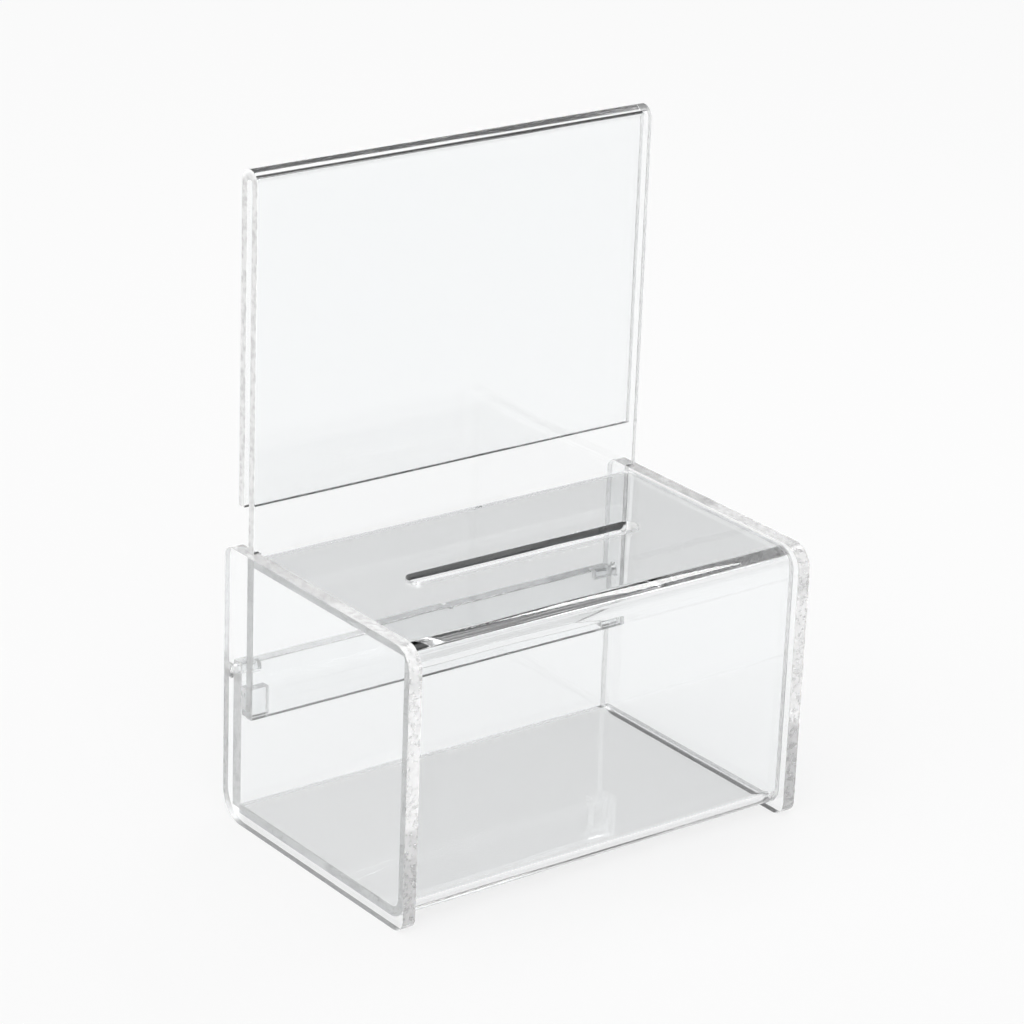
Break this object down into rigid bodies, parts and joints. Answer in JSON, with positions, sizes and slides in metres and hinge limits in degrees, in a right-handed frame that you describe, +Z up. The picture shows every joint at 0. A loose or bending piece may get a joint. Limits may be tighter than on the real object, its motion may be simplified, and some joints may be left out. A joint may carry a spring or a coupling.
{
  "type": "donation box",
  "caption": "Clear acrylic counter-top donation box with a coin slot, a folded sign holder above it and a top-hinged rear door.",
  "frame": {"origin": "on the surface the box stands on, under the middle of its footprint", "axes": "+X to the right along the width, +Y to the rear towards the door, +Z up"},
  "size_m": [0.16, 0.103, 0.223],
  "materials": {
    "acrylic_plate": "clear polished cast acrylic plate",
    "acrylic_sheet": "clear polished acrylic sheet with heat-bent corners",
    "acrylic_rod": "clear acrylic rod",
    "acrylic_block": "clear acrylic, sawn edges"
  },
  "bodies": {
    "box": {"side_panel_left": "acrylic_plate", "side_panel_right": "acrylic_plate", "body_shell": "acrylic_sheet", "sign_holder": "acrylic_sheet", "hinge_pin_left": "acrylic_rod", "hinge_pin_right": "acrylic_rod", "stop_block_left": "acrylic_block", "stop_block_right": "acrylic_block"},
    "door": {"rear_door": "acrylic_plate"}
  },
  "joints": [
    {"name": "door_hinge", "type": "hinge", "parent": "box", "child": "door", "pos_m": [0, 0.0477, 0.0533], "axis": [1, 0, 0], "range_deg": [0, 180]}
  ]
}
